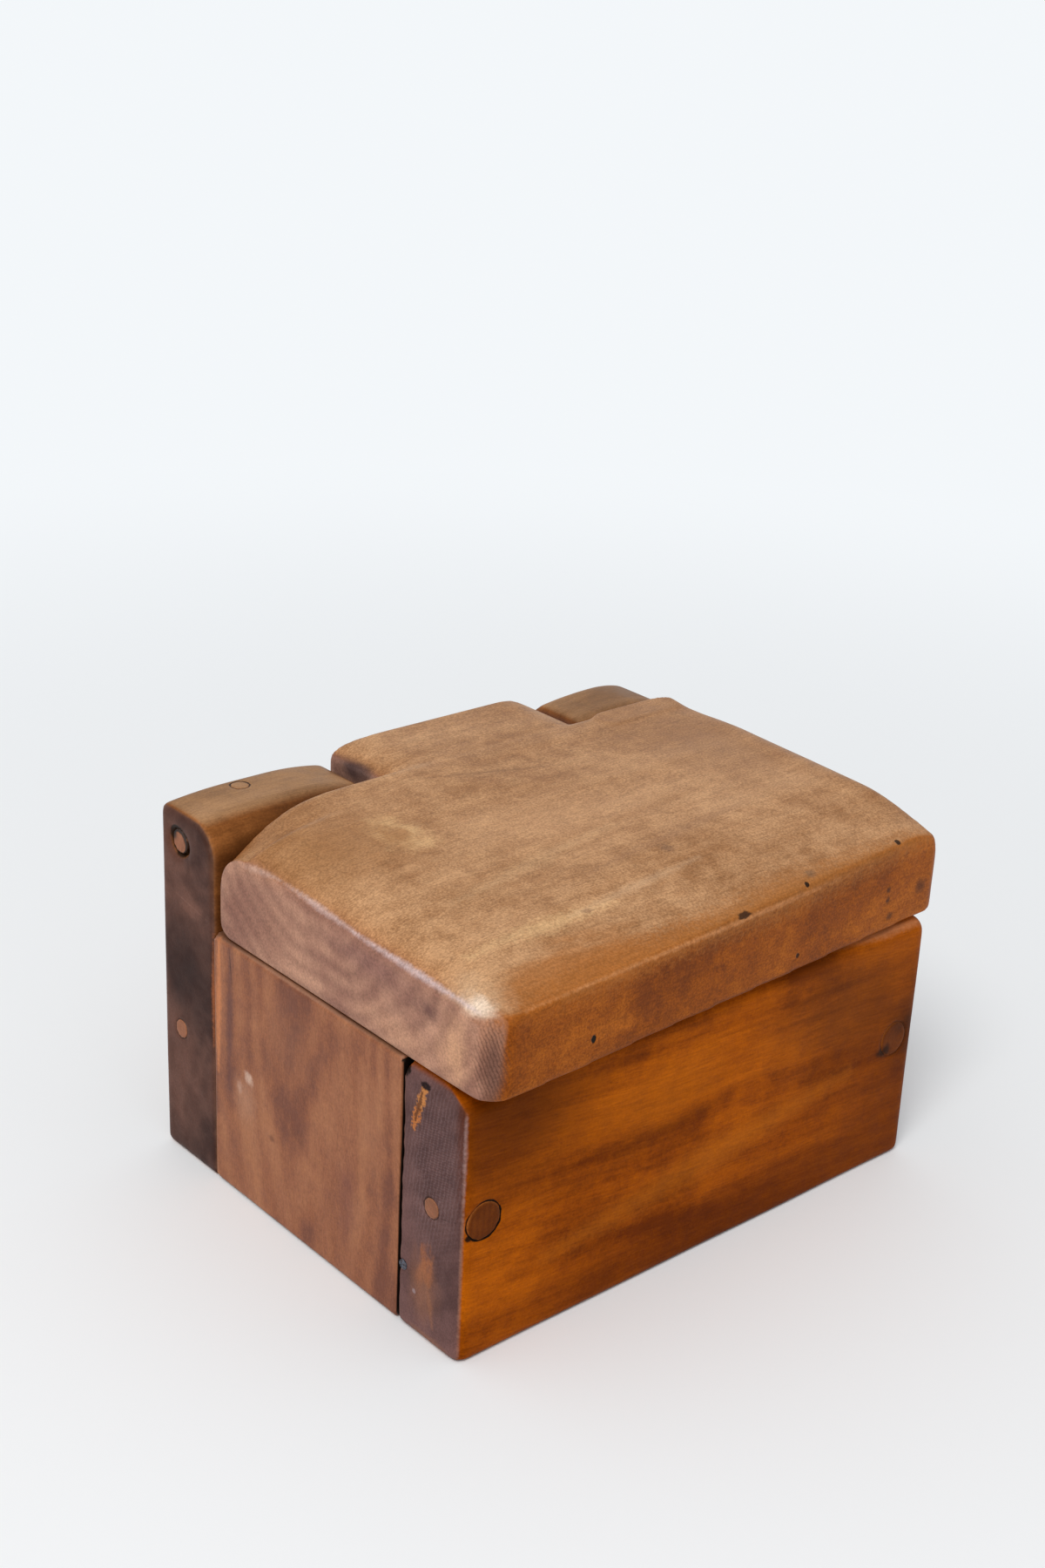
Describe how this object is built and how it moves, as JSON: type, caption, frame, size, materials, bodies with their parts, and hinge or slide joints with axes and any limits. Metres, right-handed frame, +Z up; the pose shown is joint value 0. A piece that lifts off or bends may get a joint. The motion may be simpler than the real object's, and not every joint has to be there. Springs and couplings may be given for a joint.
{
  "type": "salt box with hinged lid",
  "caption": "Old wooden salt box of thick boards held by dowels and cross pins, with a slab lid whose tongue turns on a wooden pin between two ears.",
  "frame": {"origin": "middle of the base of the side and front boards, on the surface that the box stands on", "axes": "+X to the right along the front, -Y to the front, +Z up"},
  "size_m": [0.2175, 0.1767, 0.14],
  "materials": {
    "front_wood": "orange-brown long grain, satin wax",
    "back_wood": "brown with dark end grain, satin wax",
    "side_wood": "reddish brown upright grain, satin wax",
    "dowel_wood": "dark brown end grain, satin wax",
    "pin_wood": "light orange-tan end grain, satin wax",
    "lid_wood": "worn tan-brown long grain, satin wax",
    "nail_iron": "dark old iron"
  },
  "bodies": {
    "box": {"front_board": "front_wood", "back_board": "back_wood", "left_side_board": "side_wood", "right_side_board": "side_wood", "bottom_board": "side_wood", "bottom_pegs": "dowel_wood", "front_left_dowel": "dowel_wood", "front_right_dowel": "dowel_wood", "back_left_dowel": "dowel_wood", "back_right_dowel": "dowel_wood", "front_left_cross_pin": "pin_wood", "front_right_cross_pin": "pin_wood", "back_left_cross_pin": "pin_wood", "back_right_cross_pin": "pin_wood", "hinge_pin": "pin_wood", "hinge_lock_peg": "dowel_wood", "end_nail": "nail_iron"},
    "lid": {"lid": "lid_wood"}
  },
  "joints": [
    {"name": "lid_hinge", "type": "hinge", "parent": "box", "child": "lid", "pos_m": [0, 0.0725, 0.122], "axis": [-1, 0, 0], "range_deg": [0, 108]}
  ]
}
